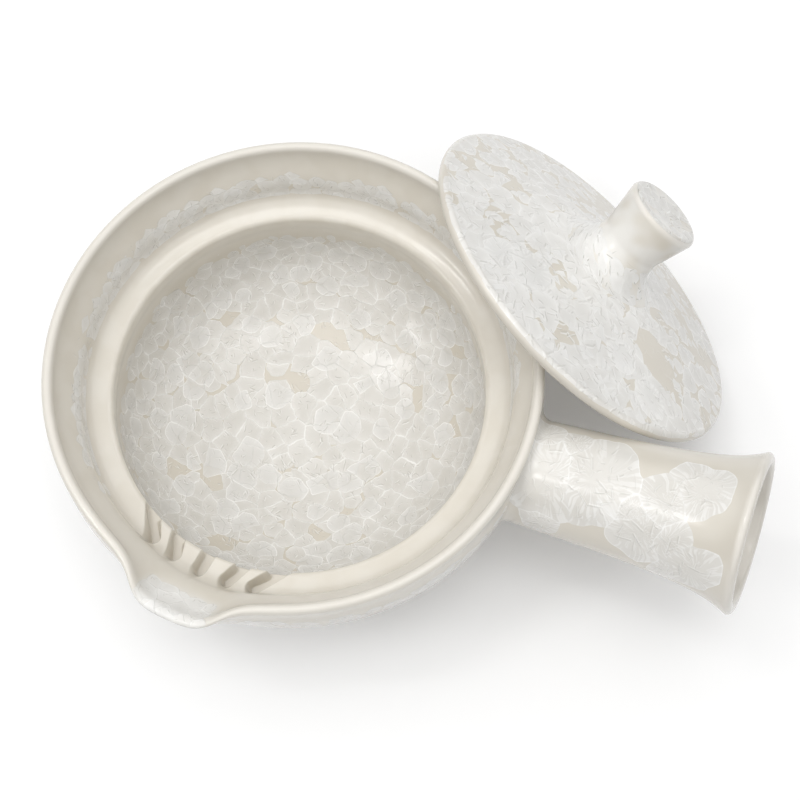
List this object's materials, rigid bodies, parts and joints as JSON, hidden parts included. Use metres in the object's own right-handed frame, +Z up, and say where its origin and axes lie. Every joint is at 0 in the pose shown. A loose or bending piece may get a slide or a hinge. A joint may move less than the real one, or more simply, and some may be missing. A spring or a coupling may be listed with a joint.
{
  "type": "side-handled teapot",
  "caption": "Wide porcelain teapot with a hollow flared side handle, a pinched pouring lip, strainer grooves in the lid seat and a loose knobbed lid leaning on the rim.",
  "frame": {"origin": "centre of the flat foot, on the table", "axes": "+Z up, +X from the bowl's axis towards the handle, -Y towards the pouring lip"},
  "size_m": [0.1633, 0.1489, 0.0663],
  "materials": {
    "pot_body": "ivory gloss glaze with pale grown crystals",
    "side_handle": "ivory gloss glaze with large fan-shaped crystals",
    "lid_plate": "ivory gloss glaze covered by feathery crystals",
    "lid_knob": "plain ivory gloss glaze"
  },
  "bodies": {
    "pot": {"pot_body": "pot_body", "side_handle": "side_handle"},
    "lid": {"lid_plate": "lid_plate", "lid_knob": "lid_knob"}
  },
  "joints": [
    {"name": "lid_lift", "type": "slide", "parent": "pot", "child": "lid", "axis": [0, 0, 1], "range_m": [0, 0.07]}
  ]
}
